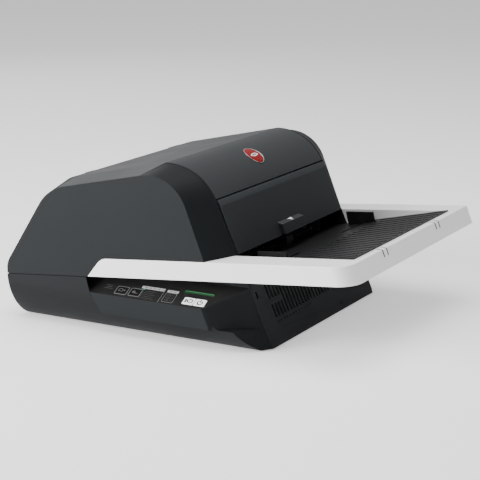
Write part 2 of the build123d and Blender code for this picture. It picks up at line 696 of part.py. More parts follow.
# centre along X, centre up the slope, width, depth
KEYS = {
    "laminate_key": (-90.5, 13.5, 18.0, 14.0),
    "film_key": (-67.0, 13.5, 17.0, 14.0),
    "reverse_key": (26.0, 12.4, 18.0, 13.6),
    "power_key": (45.0, 12.4, 18.0, 13.6),
}
LIGHT_BAR = (35.0, 31.0, 50.0, 4.6)
READY_LIGHT = (-56.0, 22.2)
READY_LIGHT_R = 1.3
panel_section = [
    (CONSOLE_FRONT_Y, CONSOLE_Z[0]),
    (CONSOLE_FRONT_Y, CONSOLE_Z[1]),
    FASCIA_TOP,
    (FASCIA_TOP[0], 130),
    (-174.5, 130),
    *reversed(CONSOLE_INSIDE),
]
panel_end = [(CONSOLE_X, 130), (CONSOLE_X, 80), (-139.4, 58), (-120.0, CONSOLE_Z[0])]
panel_end += [(FAR, CONSOLE_Z[0]), (FAR, 130)]
BEHIND_GRILLE = GRILLE_THICK + 0.2
grille_room = [(front_x(0) - BEHIND_GRILLE, 0), (front_x(130) - BEHIND_GRILLE, 130), (FAR, 130), (FAR, 0)]
WING_X = -178.0  # the fascia runs on this far behind the housing's skin
WING_Y = CONSOLE_FRONT_Y + 3.5
wing_end = [(WING_Y, 59.8), (WING_Y, 130), (-174.5, 130), CONSOLE_INSIDE[-1]]
with BuildPart() as fascia_wing:
    add(console_prism(panel_section, WING_X, -130))
    add(console_prism(wing_end, WING_X, WING_X + 2))
    block((WING_X, -130), (WING_Y, -174.5), (0, 130), Mode.INTERSECT)

with BuildPart() as control_panel:
    add(console_prism(panel_section, CONSOLE_X, 140))
    side_prism(panel_end, -250, -170, Mode.INTERSECT)
    add(fascia_wing.part)
    side_prism(OVER_TRAY, -250, -170, Mode.SUBTRACT)
    add(WEDGE, mode=Mode.SUBTRACT)
    side_prism(grille_room, -GRILLE_HALF - 0.2, -170, Mode.SUBTRACT)
    for x, rise, wide, deep in KEYS.values():
        with BuildSketch(FASCIA.offset(-8)) as well:
            with Locations((x, rise)):
                Rectangle(wide + 2 * KEY_GAP, deep + 2 * KEY_GAP)
        extrude(well.sketch, amount=16, mode=Mode.SUBTRACT)
    with BuildSketch(FASCIA.offset(-8)) as window:
        with Locations(LIGHT_BAR[:2]):
            Rectangle(*LIGHT_BAR[2:])
        with Locations(READY_LIGHT):
            Circle(READY_LIGHT_R)
    extrude(window.sketch, amount=16, mode=Mode.SUBTRACT)
save(control_panel, "control_panel")

with BuildPart() as status_lights:
    with BuildSketch(FASCIA.offset(-4)) as lens:
        with Locations(LIGHT_BAR[:2]):
            Rectangle(*LIGHT_BAR[2:])
        with Locations(READY_LIGHT):
            Circle(READY_LIGHT_R)
    extrude(lens.sketch, amount=4.2)
save(status_lights, "status_lights")

for key, (x, rise, wide, deep) in KEYS.items():
    with BuildPart() as cap:
        with BuildSketch(FASCIA.offset(-KEY_DEEP)) as face:
            with Locations((x, rise)):
                RectangleRounded(wide, deep, 1.2)
        extrude(face.sketch, amount=KEY_DEEP + KEY_PROUD)
        fillet(cap.edges().group_by(Axis((0, 0, 0), FASCIA.z_dir))[-1], 0.3)
    save(cap, key)

BOARD_DEPTH = 10.6
with BuildPart() as panel_circuit_board:
    with BuildSketch(FASCIA.offset(-BOARD_DEPTH)) as board:
        with Locations((-26, 22)):
            Rectangle(164, 36)
    extrude(board.sketch, amount=1.6)
    for x, rise, _, _ in KEYS.values():
        with BuildSketch(FASCIA.offset(-BOARD_DEPTH + 1.6)) as switch:
            with Locations((x, rise)):
                Rectangle(6, 6)
        extrude(switch.sketch, amount=4.4)
        with BuildSketch(FASCIA.offset(-BOARD_DEPTH + 6)) as plunger:
            with Locations((x, rise)):
                Circle(1.7)
        extrude(plunger.sketch, amount=0.4)
    for x, rise in ((-98, 36), (50, 36)):
        with BuildSketch(FASCIA.offset(-BOARD_DEPTH + 1.6)) as stand:
            with Locations((x, rise)):
                Circle(2)
        extrude(stand.sketch, amount=BOARD_DEPTH - 1.6 - 2.8)
save(panel_circuit_board, "panel_circuit_board")

# ---------------------------------------------------------------- steel side frames
HEAT_R, HEAT_X = 20.0, -90.0
PULL_R, PULL_X = 14.0, -150.0
EXIT_R, EXIT_X = 11.0, -240.0
FEED_R, FEED_X = 8.0, 30.0
ROLLER_HALF = 157.0
BUSH_WALL = 2.5


def nip(radius):
    """heights of the lower and upper roller of a pair"""
    return PATH_Z - radius - NIP / 2, PATH_Z + radius + NIP / 2


# each pair: X, roller radius, journal radius
PAIRS = {
    "heated": (HEAT_X, HEAT_R, 7.0),
    "pull": (PULL_X, PULL_R, 5.0),
    "exit": (EXIT_X, EXIT_R, 4.0),
    "feed": (FEED_X, FEED_R, 4.0),
}
TIES = [(-120.0, 40.0), (-120.0, 152.0), (-244.0, 133.5)]
frame_outline = [(-270, 14), (-264, CHASSIS_Z), (44, CHASSIS_Z), (52, 20)]
frame_outline += [(52, 124), (40, 140), (-250, 140), (-270, 120)]


def side_frame(side):
    """steel plate that carries the roller bushes"""
    y0, y1 = sorted((side * FRAME_Y, side * (FRAME_Y + FRAME_THICK)))
    with BuildPart() as plate:
        side_prism(frame_outline, y0, y1)
        block((-125, -108), (y0, y1), (138, 158))
        for x, radius, journal in PAIRS.values():
            for z in nip(radius):
                rod(x, z, journal + BUSH_WALL, y0 - 1, y1 + 1, Mode.SUBTRACT)
        for x, z in TIES:
            rod(x, z, 2, y0 - 1, y1 + 1, Mode.SUBTRACT)
        foot = sorted((side * (FRAME_Y + FRAME_THICK), side * (FRAME_Y + FRAME_THICK + 7)))
        block((-250, -190), foot, (CHASSIS_Z, CHASSIS_Z + 2))
        block((-20, 30), foot, (CHASSIS_Z, CHASSIS_Z + 2))
        with Locations(*SCREW_PLACES):
            Cylinder(SCREW_R, 40, mode=Mode.SUBTRACT)
    return plate


near_side_frame = side_frame(-1)
save(near_side_frame, "near_side_frame")
far_side_frame = side_frame(1)
save(far_side_frame, "far_side_frame")

with BuildPart() as frame_ties:
    for x, z in TIES:
        rod(x, z, 5, -FRAME_Y, FRAME_Y)
        rod(x, z, 2, -FRAME_Y - FRAME_THICK, FRAME_Y + FRAME_THICK)
        for side in (-1, 1):
            rod(x, z, 3.6, *sorted((side * (FRAME_Y + FRAME_THICK), side * (FRAME_Y + FRAME_THICK + 1.2))))
    for z in (84.0, 128.0):
        rod(-60, z, 3, -FRAME_Y, FRAME_Y)
save(frame_ties, "frame_ties")

with BuildPart() as roller_bushes:
    for side in (-1, 1):
        y0, y1 = sorted((side * (FRAME_Y - 2), side * (FRAME_Y + FRAME_THICK + 1.2)))
        for x, radius, journal in PAIRS.values():
            for z in nip(radius):
                rod(x, z, journal + BUSH_WALL, y0, y1)
                rod(x, z, journal + RUN_FIT, y0 - 1, y1 + 1, Mode.SUBTRACT)
save(roller_bushes, "roller_bushes")

# ---------------------------------------------------------------- rollers, gears and belt
GEAR_TEETH = {"heated": 40, "pull": 28, "exit": 24, "feed": 16}
PULLEY_SHARE = 0.6  # pulley radius over roller radius, so every roller has the same surface speed
HEATER_BORE = 4.0


def roller(pair, upper):
    """one roller of a pair with its journals, its gear and, on a driven lower roller, its pulley"""
    x, radius, journal = PAIRS[pair]
    z = nip(radius)[upper]
    count = GEAR_TEETH[pair]
    module = (2 * radius + NIP) / count
    gear_angle = 90 if not upper else 270 + 180 / count
    reach = GEAR_Y + GEAR_WIDE
    with BuildPart() as body:
        if pair in ("exit", "feed"):
            rod(x, z, journal + 1, -ROLLER_HALF, ROLLER_HALF)
            for y in (-115, -60, 60, 115):
                rod(x, z, radius, y - 14, y + 14)
            if pair == "feed" and upper:
                rod(x, z, journal + 2, -22, 22, Mode.SUBTRACT)
                rod(x, z, journal, -23, 23)
        else:
            rod(x, z, radius, -ROLLER_HALF, ROLLER_HALF)
        rod(x, z, journal, -FRAME_Y - FRAME_THICK - 1.5, reach)
        plane = Plane(origin=(x, reach, z), x_dir=(1, 0, 0), z_dir=(0, -1, 0))
        extrude(gear_blank(plane, count, module, gear_angle), amount=GEAR_WIDE)
        if not upper and pair != "feed":
            rod(x, z, radius * PULLEY_SHARE, -reach, -GEAR_Y)
            rod(x, z, journal, -reach, -FRAME_Y)
        if pair == "heated":
            rod(x, z, radius - 5, -ROLLER_HALF + 6, ROLLER_HALF - 6, Mode.SUBTRACT)
            rod(x, z, HEATER_BORE, -FAR, FAR, Mode.SUBTRACT)
    return body


for pair in PAIRS:
    for upper, word in enumerate(("lower", "upper")):
        save(roller(pair, upper), f"{word}_{pair}_roller")

BELT_Y = (-GEAR_Y - 5.5, -GEAR_Y - 0.5)
BELT_THICK = 1.5
with BuildPart() as drive_belt:
    loops = []
    for grow in (BELT_THICK + 0.3, 0.3):
        with BuildSketch(at_y(BELT_Y[1])) as loop:
            for pair in ("heated", "pull", "exit"):
                x, radius, _ = PAIRS[pair]
                with Locations((x, nip(radius)[0])):
                    Circle(radius * PULLEY_SHARE + grow)
            make_hull(mode=Mode.REPLACE)
        loops.append(loop.sketch)
    extrude(loops[0], amount=BELT_Y[1] - BELT_Y[0])
    extrude(loops[1], amount=BELT_Y[1] - BELT_Y[0], mode=Mode.SUBTRACT)
save(drive_belt, "drive_belt")

with BuildPart() as heater_rods:
    for z in nip(HEAT_R):
        rod(HEAT_X, z, 3, -173.4, 173.4)
        for side in (-1, 1):
            rod(HEAT_X, z, 4, *sorted((side * 172.2, side * 173.4)))
save(heater_rods, "heater_rods")

# ---------------------------------------------------------------- motors
PINION_COUNT = 12
HEAT_MODULE = (2 * HEAT_R + NIP) / GEAR_TEETH["heated"]
FEED_MODULE = (2 * FEED_R + NIP) / GEAR_TEETH["feed"]


def motor_place(pair, module, angle):
    """centre of the pinion that meshes with a pair's lower gear"""
    x, radius, _ = PAIRS[pair]
    reach = module * (GEAR_TEETH[pair] + PINION_COUNT) / 2
    return x + reach * cos(radians(angle)), nip(radius)[0] + reach * sin(radians(angle))


MAIN_ANGLE, FEED_ANGLE = 144.0, 225.0
MAIN_MOTOR = motor_place("heated", HEAT_MODULE, MAIN_ANGLE)
FEED_MOTOR = motor_place("feed", FEED_MODULE, FEED_ANGLE)


def pinion(centre, module, angle):
    """motor pinion on its shaft"""
    x, z = centre
    plane = Plane(origin=(x, GEAR_Y + GEAR_WIDE, z), x_dir=(1, 0, 0), z_dir=(0, -1, 0))
    with BuildPart() as gear:
        extrude(gear_blank(plane, PINION_COUNT, module, angle + 180 + 180 / PINION_COUNT), amount=GEAR_WIDE)
        rod(x, z, 1.5, GEAR_Y, GEAR_Y + GEAR_WIDE + 9)
    return gear


def motor(centre, radius, length, spacer_angles):
    """motor can, its mounting plate and the spacers down to the side frame"""
    x, z = centre
    plate_y = GEAR_Y + GEAR_WIDE + 0.8
    with BuildPart() as can:
        rod(x, z, radius, plate_y + 1.6, plate_y + 1.6 + length)
        rod(x, z, radius * 0.3, plate_y + 1.6 + length, plate_y + 4 + length)
        rod(x, z, radius + 3, plate_y, plate_y + 1.6)
        for angle in spacer_angles:
            px = x + (radius - 1) * cos(radians(angle))
            pz = z + (radius - 1) * sin(radians(angle))
            rod(px, pz, 2.5, FRAME_Y + FRAME_THICK, plate_y)
        rod(x, z, 1.5 + RUN_FIT, plate_y - 1, plate_y + 9.2, Mode.SUBTRACT)
    return can


main_motor = motor(MAIN_MOTOR, 18.0, 30.0, (100, 150, 200))
save(main_motor, "main_motor")
save(pinion(MAIN_MOTOR, HEAT_MODULE, MAIN_ANGLE), "main_motor_pinion")
feed_motor = motor(FEED_MOTOR, 14.0, 26.0, (180, 225, 280))
save(feed_motor, "feed_motor")
save(pinion(FEED_MOTOR, FEED_MODULE, FEED_ANGLE), "feed_motor_pinion")

# ---------------------------------------------------------------- sheet pick-up
PICK_R, PICK_X, PICK_Z = 11.0, 70.0, 119.6
FEED_UP_Z = nip(FEED_R)[1]
arm_shape = [(FEED_X, FEED_UP_Z + 7), (FEED_X, FEED_UP_Z - 6.5), (FEED_X + 12, FEED_UP_Z - 3)]
arm_shape += [(PICK_X, PICK_Z - 6), (PICK_X + 5, PICK_Z), (PICK_X, PICK_Z + 7)]
with BuildPart() as pick_arm:
    for side in (-1, 1):
        y0, y1 = sorted((side * 13, side * 16))
        side_prism(arm_shape, y0, y1)
        rod(FEED_X, FEED_UP_Z, 7, y0, y1)
        rod(FEED_X, FEED_UP_Z, 4 + RUN_FIT, y0, y1, Mode.SUBTRACT)
        rod(PICK_X, PICK_Z, 2 + RUN_FIT, y0, y1, Mode.SUBTRACT)
    block((46, 52), (-13.5, 13.5), (118, 124.5))
save(pick_arm, "pick_arm")

with BuildPart() as pick_roller:
    rod(PICK_X, PICK_Z, PICK_R, -11, 11)
    rod(PICK_X, PICK_Z, 2, -18, 18)
    rod(PICK_X, PICK_Z, 4, -12.6, 12.6)
save(pick_roller, "pick_roller")

with BuildPart() as separation_pad:
    pad = [(63, floor_top(63)), (77, floor_top(77)), (77, floor_top(77) + 1), (63, floor_top(63) + 1)]
    side_prism(pad, -18, 18)
save(separation_pad, "separation_pad")

# ---------------------------------------------------------------- film cartridge
ROLL_R, ROLL_X = 26.0, -23.0
ROLL_Z = {"lower": 51.0, "upper": 178.0}
cheek = [(-46, CHASSIS_Z), (0, CHASSIS_Z), (4, 40), (4, 190)]
cheek += [(-8, 214), (-38, 214), (-50, 190), (-50, 40)]
with BuildPart() as film_cartridge:
    for side in (-1, 1):
        y0, y1 = sorted((side * 155.5, side * 158.5))
        side_prism(cheek, y0, y1)
        for z in ROLL_Z.values():
            rod(ROLL_X, z, 5 + RUN_FIT, y0, y1, Mode.SUBTRACT)
    block((-36, -10), (-155.6, 155.6), (206, 212))
    block((-36, -10), (-155.6, 155.6), (CHASSIS_Z + 2, CHASSIS_Z + 7))
    block((-34, -12), (-40, 40), (211, 214.5))
save(film_cartridge, "film_cartridge")

for word, z in ROLL_Z.items():
    with BuildPart() as roll:
        rod(ROLL_X, z, ROLL_R, -152.5, 152.5)
        rod(ROLL_X, z, 11, -154.5, 154.5)
        rod(ROLL_X, z, 5, -158, 158)
    save(roll, f"{word}_film_roll")

# ---------------------------------------------------------------- cutter
CUT_X, WHEEL_R, WHEEL_Z = -195.0, 10.0, 113.0
PARK_Y = -138.0
with BuildPart() as cutter_rail:
    block((CUT_X - 5, CUT_X + 5), (-FRAME_Y, FRAME_Y), (126, 134))
    block((CUT_X - 8, CUT_X + 8), (-FRAME_Y, FRAME_Y), (93, 102))
save(cutter_rail, "cutter_rail")

with BuildPart() as cutter_carriage:
    block((CUT_X - 10, CUT_X + 10), (PARK_Y - 12, PARK_Y + 12), (108, 138))
    block((CUT_X - 5.3, CUT_X + 5.3), (PARK_Y - 13, PARK_Y + 13), (125.7, 134.3), Mode.SUBTRACT)
    block((CUT_X - 1.2, CUT_X + 1.2), (PARK_Y - 13, PARK_Y + 13), (107, 124.2), Mode.SUBTRACT)
    with Locations(Location((CUT_X, PARK_Y, WHEEL_Z), (0, 90, 0))):
        Cylinder(1.5 + RUN_FIT, 30, mode=Mode.SUBTRACT)
save(cutter_carriage, "cutter_carriage")

with BuildPart() as cutter_wheel:
    with Locations(Location((CUT_X, PARK_Y, WHEEL_Z), (0, 90, 0))):
        Cylinder(WHEEL_R, 1.4)
        Cylinder(1.5, 19)
save(cutter_wheel, "cutter_wheel")

# ---------------------------------------------------------------- fan
FAN = (88.0, -43.0, CHASSIS_Z + 41)
FAN_SIZE, FAN_DEEP, FAN_R = 80.0, 20.0, 36.0
with BuildPart() as fan_housing:
    with Locations(FAN):
        Box(FAN_DEEP, FAN_SIZE, FAN_SIZE)
    with Locations(Location(FAN, (0, 90, 0))):
        Cylinder(FAN_R + 1.5, FAN_DEEP, mode=Mode.SUBTRACT)
    with Locations((FAN[0] - FAN_DEEP / 2 + 1.5, FAN[1], FAN[2])):
        Box(3, FAN_SIZE - 1, 4)
        Box(3, 4, FAN_SIZE - 1)
        with Locations(Location((0, 0, 0), (0, 90, 0))):
            Cylinder(14, 3)
    with Locations((FAN[0], FAN[1], CHASSIS_Z + 0.5)):
        Box(FAN_DEEP, FAN_SIZE, 1)
save(fan_housing, "fan_housing")

with BuildPart() as fan_rotor:
    with Locations(Location((FAN[0] + 1, FAN[1], FAN[2]), (0, 90, 0))):
        Cylinder(13, 12)
    for i in range(7):
        spin = Location(FAN, (0, 90, 0)) * Location((0, 0, 1), (0, 0, i * 360 / 7))
        with Locations(spin * Location((23, 0, 0), (35, 0, 0))):
            Box(24, 14, 1.4)
save(fan_rotor, "fan_rotor")

# ---------------------------------------------------------------- electrics
with BuildPart() as main_circuit_board:
    board_z = CHASSIS_Z + 5
    block((-262, -136), (-130, 40), (board_z, board_z + 1.6))
    for x in (-256, -142):
        for y in (-124, 34):
            with Locations((x, y, CHASSIS_Z + 2.5)):
                Cylinder(3, 5)
    block((-200, -176), (-60, -36), (board_z + 1.6, board_z + 4))
    block((-250, -236), (-100, -40), (board_z + 1.6, board_z + 11))
    block((-160, -148), (-20, 20), (board_z + 1.6, board_z + 9))
    for y in (-110, -96, -82):
        with Locations((-170, y, board_z + 1.6 + 8)):
            Cylinder(5, 16)
save(main_circuit_board, "main_circuit_board")

with BuildPart() as power_supply:
    block((12, 68), (-150, -10), (CHASSIS_Z, 55))
    for y in range(-140, -19, 8):
        block((20, 60), (y - 1.2, y + 1.2), (52, 56), Mode.SUBTRACT)
save(power_supply, "power_supply")

INLET = (150.0, 55.0)
with BuildPart() as mains_inlet:
    block((-290, -270), (136.2, 163.8), (45.2, 64.8))
    block((-292, -279), (INLET[0] - 11, INLET[0] + 11), (INLET[1] - 7, INLET[1] + 7), Mode.SUBTRACT)
    for y, z in ((0, 3), (-6, -2), (6, -2)):
        pin_y, pin_z = INLET[0] + y, INLET[1] + z
        block((-285, -278), (pin_y - 1, pin_y + 1), (pin_z - 2, pin_z + 2))
save(mains_inlet, "mains_inlet")

# ---------------------------------------------------------------- badge
BADGE_ANGLE = 58.7  # where it sits round the hood's curve
BADGE_R = 18.8
CURVE_X, CURVE_Z, CURVE_R = -29.0, 172.0, 88.0
BADGE = Plane(
    origin=(
        CURVE_X + CURVE_R * cos(radians(BADGE_ANGLE)),
        0,
        CURVE_Z + CURVE_R * sin(radians(BADGE_ANGLE)),
    ),
    x_dir=(0, 1, 0),
    z_dir=(cos(radians(BADGE_ANGLE)), 0, sin(radians(BADGE_ANGLE))),
)
with BuildPart() as badge:
    with BuildSketch(BADGE.offset(-8)) as disc:
        Circle(BADGE_R)
    extrude(disc.sketch, amount=16)
    rod(CURVE_X, CURVE_Z, CURVE_R + 1.0, -40, 40, Mode.INTERSECT)
    add(OUTER, mode=Mode.SUBTRACT)
save(badge, "badge")
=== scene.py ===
"""Looks for the automatic sheet-fed laminator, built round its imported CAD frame.

The scene is in metres. Sizes in this script are in mm unless it says so. +X runs to the tray's end, -Y is
the console's side, and the floor is at Z 0.
"""

import json
from math import atan2, cos, pi, radians, sin

import bmesh
import bpy
from mathutils import Matrix, Vector

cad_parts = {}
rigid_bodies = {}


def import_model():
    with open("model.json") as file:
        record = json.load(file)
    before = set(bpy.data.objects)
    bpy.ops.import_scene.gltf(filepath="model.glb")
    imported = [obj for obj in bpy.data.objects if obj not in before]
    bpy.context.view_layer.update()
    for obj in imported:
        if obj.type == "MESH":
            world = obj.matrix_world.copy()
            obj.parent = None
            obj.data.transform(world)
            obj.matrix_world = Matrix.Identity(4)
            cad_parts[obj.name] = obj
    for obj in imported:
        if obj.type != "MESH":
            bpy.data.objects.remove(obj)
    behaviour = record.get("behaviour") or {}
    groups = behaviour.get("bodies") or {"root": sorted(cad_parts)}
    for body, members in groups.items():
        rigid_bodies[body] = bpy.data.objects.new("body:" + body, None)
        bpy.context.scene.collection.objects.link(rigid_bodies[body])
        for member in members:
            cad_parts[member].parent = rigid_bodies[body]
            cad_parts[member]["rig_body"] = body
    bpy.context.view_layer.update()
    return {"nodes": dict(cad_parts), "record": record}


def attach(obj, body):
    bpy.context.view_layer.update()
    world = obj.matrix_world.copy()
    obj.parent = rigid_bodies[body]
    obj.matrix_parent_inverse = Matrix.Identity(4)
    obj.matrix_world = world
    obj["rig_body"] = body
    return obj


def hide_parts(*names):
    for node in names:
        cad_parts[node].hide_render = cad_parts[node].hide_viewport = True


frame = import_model()
NODES = frame["nodes"]
MM = 0.001
WHITE = (1, 1, 1, 1)


# ---------------------------------------------------------------- materials
def material(
    name, colour, rough, grain=0.0, grain_size=0.9, spread=0.05, tint=0.06, metal=0.0, **sockets
):
    """Principled finish with a fine moulded grain and a slight drift in colour and gloss."""
    made = bpy.data.materials.new(name)
    made.use_nodes = True
    tree = made.node_tree
    shader = tree.nodes["Principled BSDF"]
    shader.inputs["Metallic"].default_value = metal
    for socket, value in sockets.items():
        shader.inputs[socket.replace("_", " ")].default_value = value
    place = tree.nodes.new("ShaderNodeTexCoord")
    drift = tree.nodes.new("ShaderNodeTexNoise")
    drift.inputs["Scale"].default_value = 9.0
    drift.inputs["Detail"].default_value = 3.0
    tree.links.new(place.outputs["Object"], drift.inputs["Vector"])
    paint = tree.nodes.new("ShaderNodeMix")
    paint.data_type = "RGBA"
    paint.inputs["A"].default_value = (*[c * (1 - tint) for c in colour], 1)
    paint.inputs["B"].default_value = (*[min(1, c * (1 + tint)) for c in colour], 1)
    tree.links.new(drift.outputs["Fac"], paint.inputs["Factor"])
    tree.links.new(paint.outputs["Result"], shader.inputs["Base Color"])
    dull = tree.nodes.new("ShaderNodeMapRange")
    dull.inputs["From Min"].default_value = 0.3
    dull.inputs["From Max"].default_value = 0.7
    dull.inputs["To Min"].default_value = max(0.02, rough - spread)
    dull.inputs["To Max"].default_value = min(1.0, rough + spread)
    tree.links.new(drift.outputs["Fac"], dull.inputs["Value"])
    tree.links.new(dull.outputs["Result"], shader.inputs["Roughness"])
    if grain:
        fine = tree.nodes.new("ShaderNodeTexNoise")
        fine.inputs["Scale"].default_value = 1000 / grain_size
        fine.inputs["Detail"].default_value = 2.0
        tree.links.new(place.outputs["Object"], fine.inputs["Vector"])
        bump = tree.nodes.new("ShaderNodeBump")
        bump.inputs["Strength"].default_value = grain
        bump.inputs["Distance"].default_value = 0.0001
        tree.links.new(fine.outputs["Fac"], bump.inputs["Height"])
        tree.links.new(bump.outputs["Normal"], shader.inputs["Normal"])
    return made


def brushed(name, colour, rough, direction):
    """Metal with fine lines along one axis, 0 for X, 1 for Y, 2 for Z."""
    made = material(name, colour, rough, metal=1.0, tint=0.04)
    tree = made.node_tree
    shader = tree.nodes["Principled BSDF"]
    place = tree.nodes.new("ShaderNodeTexCoord")
    stretch = tree.nodes.new("ShaderNodeMapping")
    stretch.inputs["Scale"].default_value = [15 if i == direction else 1800 for i in range(3)]
    lines = tree.nodes.new("ShaderNodeTexNoise")
    lines.inputs["Scale"].default_value = 1.0
    lines.inputs["Detail"].default_value = 2.0
    bump = tree.nodes.new("ShaderNodeBump")
    bump.inputs["Strength"].default_value = 0.25
    bump.inputs["Distance"].default_value = 0.00005
    tree.links.new(place.outputs["Object"], stretch.inputs["Vector"])
    tree.links.new(stretch.outputs["Vector"], lines.inputs["Vector"])
    tree.links.new(lines.outputs["Fac"], bump.inputs["Height"])
    tree.links.new(bump.outputs["Normal"], shader.inputs["Normal"])
    return made


CHARCOAL = (0.01, 0.0118, 0.0129)
# the hood's lighter grey is partly its own tone and partly painted light, raised so its top and curved
# front read brighter
HOOD_PAINTED_LIGHT_GREY = (0.041, 0.044, 0.0465)
FINISH = {
    "charcoal_housing": material("charcoal_housing", CHARCOAL, 0.52, 0.3, Specular_IOR_Level=0.12),
    "hood_grey": material("hood_grey", HOOD_PAINTED_LIGHT_GREY, 0.5, 0.25, Specular_IOR_Level=0.1),
    "dark_housing": material(
        "dark_housing", (0.0085, 0.0098, 0.0108), 0.52, 0.3, Specular_IOR_Level=0.12
    ),
    "light_tray": material("light_tray", (0.86, 0.86, 0.85), 0.42, 0.2, tint=0.015),
    "black_plastic": material(
        "black_plastic", (0.008, 0.0085, 0.009), 0.45, 0.3, Specular_IOR_Level=0.2
    ),
    "panel_black": material("panel_black", (0.0105, 0.0102, 0.01), 0.38, 0.2, Specular_IOR_Level=0.15),
    "white_key": material(
        "white_key",
        (0.93, 0.93, 0.93),
        0.35,
        0.1,
        tint=0.01,
        # painted glow: the white keys emit a little light of their own so they read brighter
        Emission_Color=WHITE,
        Emission_Strength=0.35,
    ),
    "circuit_board": material("circuit_board", (0.02, 0.16, 0.06), 0.35, 0.15, Coat_Weight=0.4),
    "red_badge": material(
        "red_badge", (0.24, 0.001, 0.002), 0.4, Specular_IOR_Level=0.25, Coat_Weight=0.1
    ),
    "zinc_steel": brushed("zinc_steel", (0.62, 0.63, 0.62), 0.34, 2),
    "bright_steel": brushed("bright_steel", (0.72, 0.72, 0.71), 0.2, 1),
    "bronze": material("bronze", (0.62, 0.42, 0.2), 0.32, 0.1, metal=1.0),
    "silicone_red": material("silicone_red", (0.3, 0.045, 0.025), 0.48, 0.2),
    "roller_rubber": material("roller_rubber", (0.022, 0.022, 0.023), 0.68, 0.5),
    "heater_glass": material("heater_glass", (0.85, 0.86, 0.86), 0.12, tint=0.01),
    "gear_white": material("gear_white", (0.74, 0.72, 0.65), 0.4, 0.1, tint=0.02),
    "cartridge_grey": material("cartridge_grey", (0.2, 0.21, 0.22), 0.45, 0.3),
    "film": material("film", (0.62, 0.66, 0.7), 0.14, 0.0, Coat_Weight=0.5),
    "green_lens": material(
        "green_lens",
        (0.006, 0.055, 0.016),
        0.25,
        Emission_Color=(0.01, 0.25, 0.05, 1),
        Emission_Strength=0.09,
    ),
}
PRINT_GREY = material("print_grey", (0.2, 0.2, 0.2), 0.5, tint=0.02)
PRINT_LIGHT = material("print_light", (0.42, 0.42, 0.42), 0.45, tint=0.02)
PRINT_WHITE = material("print_white", (0.85, 0.85, 0.84), 0.45, tint=0.02)
PRINT_FAINT = material("print_faint", (0.07, 0.07, 0.07), 0.5, tint=0.02)
PRINT_DARK = material("print_dark", (0.006, 0.006, 0.0065), 0.5, tint=0.02, Specular_IOR_Level=0.1)
GLOSS_BLACK = material("gloss_black", (0.003, 0.003, 0.0035), 0.3, tint=0.02, Specular_IOR_Level=0.15)
# painted shade: near-black textured sheet that darkens the grille's slots
GRILLE_PAINTED_SHADE = material("grille_painted_shade_sheet", (0.004, 0.0045, 0.005), 0.9, 0.8, 1.6, Specular_IOR_Level=0.05)
# painted light: a lighter copy of the charcoal so the flap's front reads brighter
FLAP_PAINTED_LIGHT_GREY = material("flap_painted_light_grey", (0.027, 0.03, 0.032), 0.5, 0.25, Specular_IOR_Level=0.12)
# painted highlight: lighter charcoal for the flap's upward-facing ledge faces
FLAP_PAINTED_HIGHLIGHT = material("charcoal_painted_highlight", (0.036, 0.041, 0.044), 0.5, 0.3, Specular_IOR_Level=0.2)
LAMP_GREEN = material(
    "lamp_green", (0.05, 0.5, 0.2), 0.3, Emission_Color=(0.05, 1.0, 0.3, 1), Emission_Strength=0.3
)
# painted highlight: a thin pale green line with a faint glow along the top edge of the green lens
LENS_PAINTED_HIGHLIGHT = material(
    "lens_highlight_paint", (0.06, 0.19, 0.09), 0.3, Emission_Color=(0.3, 1.0, 0.4, 1), Emission_Strength=0.03
)
RIM_SILVER = material("rim_silver", (0.5, 0.49, 0.48), 0.32, metal=0.7)

SLOT_OF = {row["node"]: row["material_slot"] for row in frame["record"]["subparts"]}
SHARP = radians(32)
for name, node in NODES.items():
    node.data.materials.clear()
    node.data.materials.append(FINISH[SLOT_OF[name]])
    node.data.set_sharp_from_angle(angle=SHARP)


# ---------------------------------------------------------------- helpers
def link(obj):
    bpy.context.scene.collection.objects.link(obj)
    return obj


def ring(work, points, place):
    """Loop of vertices, one for each point, put in space by place(x, y)."""
    return [work.verts.new(place(x, y)) for x, y in points]


def walls(work, low, high):
    """Band of faces between two loops of the same length."""
    for i in range(len(low)):
        j = (i + 1) % len(low)
        work.faces.new((low[i], low[j], high[j], high[i]))


def side_prism(work, outline, y0, y1):
    """Closed prism across the machine from an outline in X and Z."""
    near, far = [ring(work, outline, lambda x, z, y=y: Vector((x, y, z)) * MM) for y in (y0, y1)]
    walls(work, near, far)
    work.faces.new(near)
    work.faces.new(far)


def mesh_piece(name, mesh_bm, finish, body, smooth=35):
    """Finished mesh as a piece that rides on a body."""
    bmesh.ops.recalc_face_normals(mesh_bm, faces=mesh_bm.faces)
    data = bpy.data.meshes.new(name)
    mesh_bm.to_mesh(data)
    mesh_bm.free()
    data.materials.append(finish)
    data.shade_smooth()
    data.set_sharp_from_angle(angle=radians(smooth))
    obj = link(bpy.data.objects.new(name, data))
    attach(obj, body)
    return obj


